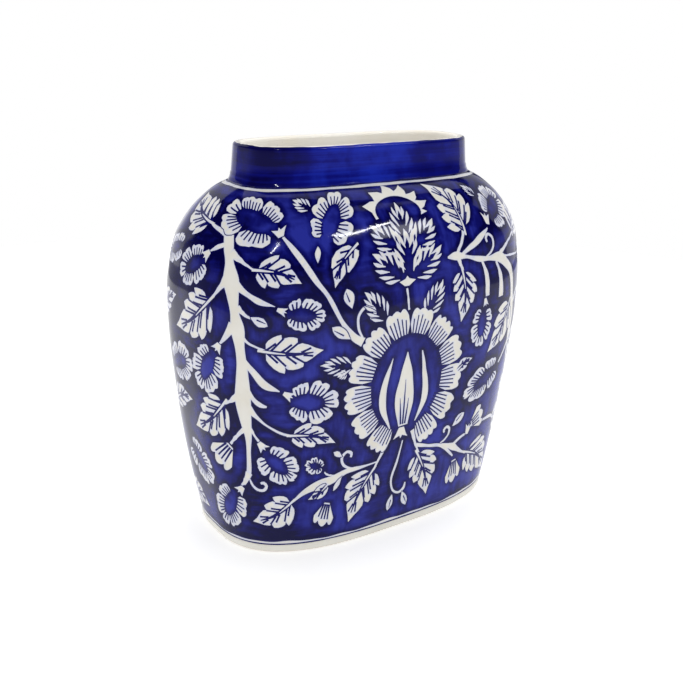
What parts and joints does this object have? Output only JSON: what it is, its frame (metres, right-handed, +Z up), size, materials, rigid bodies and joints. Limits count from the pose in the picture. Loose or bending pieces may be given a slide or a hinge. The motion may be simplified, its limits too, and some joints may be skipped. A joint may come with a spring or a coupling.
{
  "type": "pottery vase",
  "caption": "Flat oval pottery vase with a wide low collar mouth, cobalt glaze and cream painted foliage, for cut or dried flowers.",
  "frame": {"origin": "middle of the foot's underside, on the surface that the vase stands on", "axes": "+Z up through the mouth, X along the wide side, front face towards -Y"},
  "size_m": [0.2282, 0.13, 0.23],
  "materials": {
    "painted_wall": "high gloss clear glaze over a brushed cobalt ground with cream foliage",
    "cobalt_collar": "high gloss clear glaze over level cobalt brush strokes",
    "cream_glaze": "gloss cream glaze, plain",
    "foot_glaze": "cream glaze outside, wiped back to the bare body underneath"
  },
  "bodies": {
    "root": {"front_shell": "painted_wall", "back_shell": "painted_wall", "neck_collar": "cobalt_collar", "base_slab": "cream_glaze", "foot_ring": "foot_glaze"}
  },
  "joints": []
}
